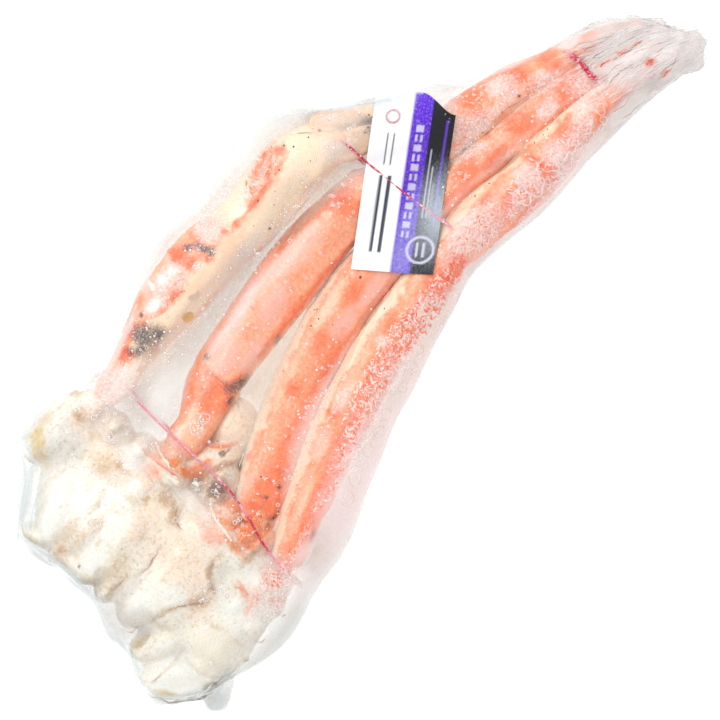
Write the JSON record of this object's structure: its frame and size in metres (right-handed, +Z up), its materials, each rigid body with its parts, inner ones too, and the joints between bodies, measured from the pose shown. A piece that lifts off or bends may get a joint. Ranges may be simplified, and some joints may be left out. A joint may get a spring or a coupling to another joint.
{
  "type": "shrink-wrapped king crab leg cluster",
  "caption": "Frozen, ice-glazed king crab leg cluster sealed in clear shrink film, with thin rubber bands and a plain label, lying on its flat back.",
  "frame": {"origin": "centre of the outline's bounding box, on the flat underside", "axes": "+X along the length from the shoulder to the leg tips, +Y towards the claw arm's side, +Z up out of the shown side"},
  "size_m": [0.419, 0.1746, 0.0486],
  "materials": {
    "film": "clear glossy shrink film, wrinkled at the gathered end",
    "ice": "milky frozen glaze with small bubbles",
    "shell": "salmon orange crab shell with cream undersides and dark dots",
    "meat": "white shoulder meat and membranes with tan veins",
    "label": "white paper label with a violet and a dark blue stripe",
    "band": "thin red rubber band"
  },
  "bodies": {
    "root": {"pack": "film"}
  },
  "joints": []
}
